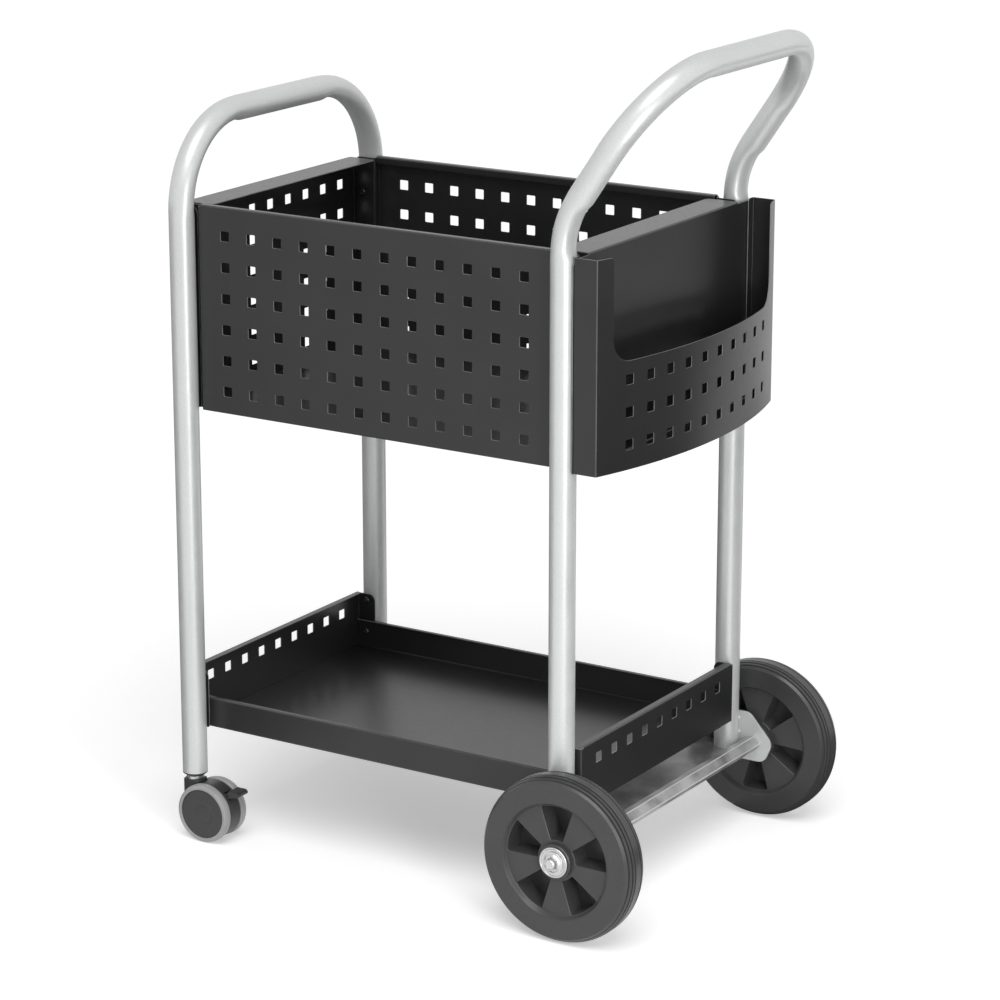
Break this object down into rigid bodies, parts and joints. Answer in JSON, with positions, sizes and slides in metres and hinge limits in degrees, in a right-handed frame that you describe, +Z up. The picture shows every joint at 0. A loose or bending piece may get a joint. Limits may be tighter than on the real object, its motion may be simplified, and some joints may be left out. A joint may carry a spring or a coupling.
{
  "type": "mobile file cart",
  "caption": "Wheeled office cart with a bent-tube frame and push handle, a perforated hanging-file basket, a rear pocket, a low tray shelf, large rear wheels and braked swivel casters in front.",
  "frame": {"origin": "on the floor, under the middle of the cart's length and width", "axes": "+X towards the push handle, +Y across the cart, +Z up"},
  "size_m": [0.6812, 0.546, 1.0215],
  "materials": {
    "frame_paint": "satin silver powder coat",
    "panel_paint": "satin black powder coat",
    "plated_steel": "bright zinc plate",
    "tyre_rubber": "dull dark grey rubber",
    "hub_plastic": "moulded black",
    "caster_tread": "smooth grey",
    "caster_disc": "moulded dark grey",
    "caster_plastic": "moulded black"
  },
  "bodies": {
    "cart": {"axle_beam": "plated_steel", "axle_rod": "plated_steel", "basket_floor": "panel_paint", "caster_socket_left": "caster_plastic", "caster_socket_right": "caster_plastic", "front_end_panel": "panel_paint", "front_frame": "frame_paint", "rear_end_panel": "panel_paint", "rear_frame": "frame_paint", "rear_pocket": "panel_paint", "shelf_front_panel": "panel_paint", "shelf_rear_panel": "panel_paint", "shelf_screw_1": "panel_paint", "shelf_screw_2": "panel_paint", "shelf_screw_3": "panel_paint", "shelf_screw_4": "panel_paint", "shelf_screw_5": "panel_paint", "shelf_screw_6": "panel_paint", "shelf_screw_7": "panel_paint", "shelf_screw_8": "panel_paint", "shelf_tray": "panel_paint", "side_panel_left": "panel_paint", "side_panel_right": "panel_paint", "wheel_bracket_left": "frame_paint", "wheel_bracket_right": "frame_paint", "wheel_push_nut_left": "plated_steel", "wheel_push_nut_right": "plated_steel", "wheel_spacer_left": "plated_steel", "wheel_spacer_right": "plated_steel", "wheel_washer_left": "plated_steel", "wheel_washer_right": "plated_steel"},
    "rear_wheel_left": {"wheel_tyre_left": "tyre_rubber", "wheel_hub_left": "hub_plastic", "wheel_bush_left": "plated_steel"},
    "caster_left": {"caster_stem_left": "plated_steel", "caster_body_left": "caster_plastic", "caster_axle_pin_left": "plated_steel", "caster_brake_pin_left": "plated_steel"},
    "caster_wheel_left_a": {"caster_disc_a_left": "caster_disc", "caster_tread_a_left": "caster_tread"},
    "caster_wheel_left_b": {"caster_disc_b_left": "caster_disc", "caster_tread_b_left": "caster_tread"},
    "brake_lever_left": {"caster_brake_lever_left": "caster_plastic"},
    "rear_wheel_right": {"wheel_tyre_right": "tyre_rubber", "wheel_hub_right": "hub_plastic", "wheel_bush_right": "plated_steel"},
    "caster_right": {"caster_stem_right": "plated_steel", "caster_body_right": "caster_plastic", "caster_axle_pin_right": "plated_steel", "caster_brake_pin_right": "plated_steel"},
    "caster_wheel_right_a": {"caster_disc_a_right": "caster_disc", "caster_tread_a_right": "caster_tread"},
    "caster_wheel_right_b": {"caster_disc_b_right": "caster_disc", "caster_tread_b_right": "caster_tread"},
    "brake_lever_right": {"caster_brake_lever_right": "caster_plastic"}
  },
  "joints": [
    {"name": "wheel_roll_left", "type": "hinge", "parent": "cart", "child": "rear_wheel_left", "pos_m": [0.23515, -0.2425, 0.101], "axis": [0, 1, 0], "continuous": true},
    {"name": "caster_swivel_left", "type": "hinge", "parent": "cart", "child": "caster_left", "pos_m": [-0.32485, -0.2005, 0.08], "axis": [0, 0, 1], "continuous": true},
    {"name": "caster_roll_left_a", "type": "hinge", "parent": "caster_left", "child": "caster_wheel_left_a", "pos_m": [-0.29985, -0.21735, 0.0375], "axis": [0, 1, 0], "continuous": true},
    {"name": "caster_roll_left_b", "type": "hinge", "parent": "caster_left", "child": "caster_wheel_left_b", "pos_m": [-0.29985, -0.18365, 0.0375], "axis": [0, 1, 0], "continuous": true},
    {"name": "brake_press_left", "type": "hinge", "parent": "caster_left", "child": "brake_lever_left", "pos_m": [-0.27533, -0.2005, 0.05958], "axis": [0, 1, 0], "range_deg": [0, 12]},
    {"name": "wheel_roll_right", "type": "hinge", "parent": "cart", "child": "rear_wheel_right", "pos_m": [0.23515, 0.2425, 0.101], "axis": [0, 1, 0], "continuous": true},
    {"name": "caster_swivel_right", "type": "hinge", "parent": "cart", "child": "caster_right", "pos_m": [-0.32485, 0.2005, 0.08], "axis": [0, 0, 1], "continuous": true},
    {"name": "caster_roll_right_a", "type": "hinge", "parent": "caster_right", "child": "caster_wheel_right_a", "pos_m": [-0.29985, 0.18365, 0.0375], "axis": [0, 1, 0], "continuous": true},
    {"name": "caster_roll_right_b", "type": "hinge", "parent": "caster_right", "child": "caster_wheel_right_b", "pos_m": [-0.29985, 0.21735, 0.0375], "axis": [0, 1, 0], "continuous": true},
    {"name": "brake_press_right", "type": "hinge", "parent": "caster_right", "child": "brake_lever_right", "pos_m": [-0.27533, 0.2005, 0.05958], "axis": [0, 1, 0], "range_deg": [0, 12]}
  ]
}
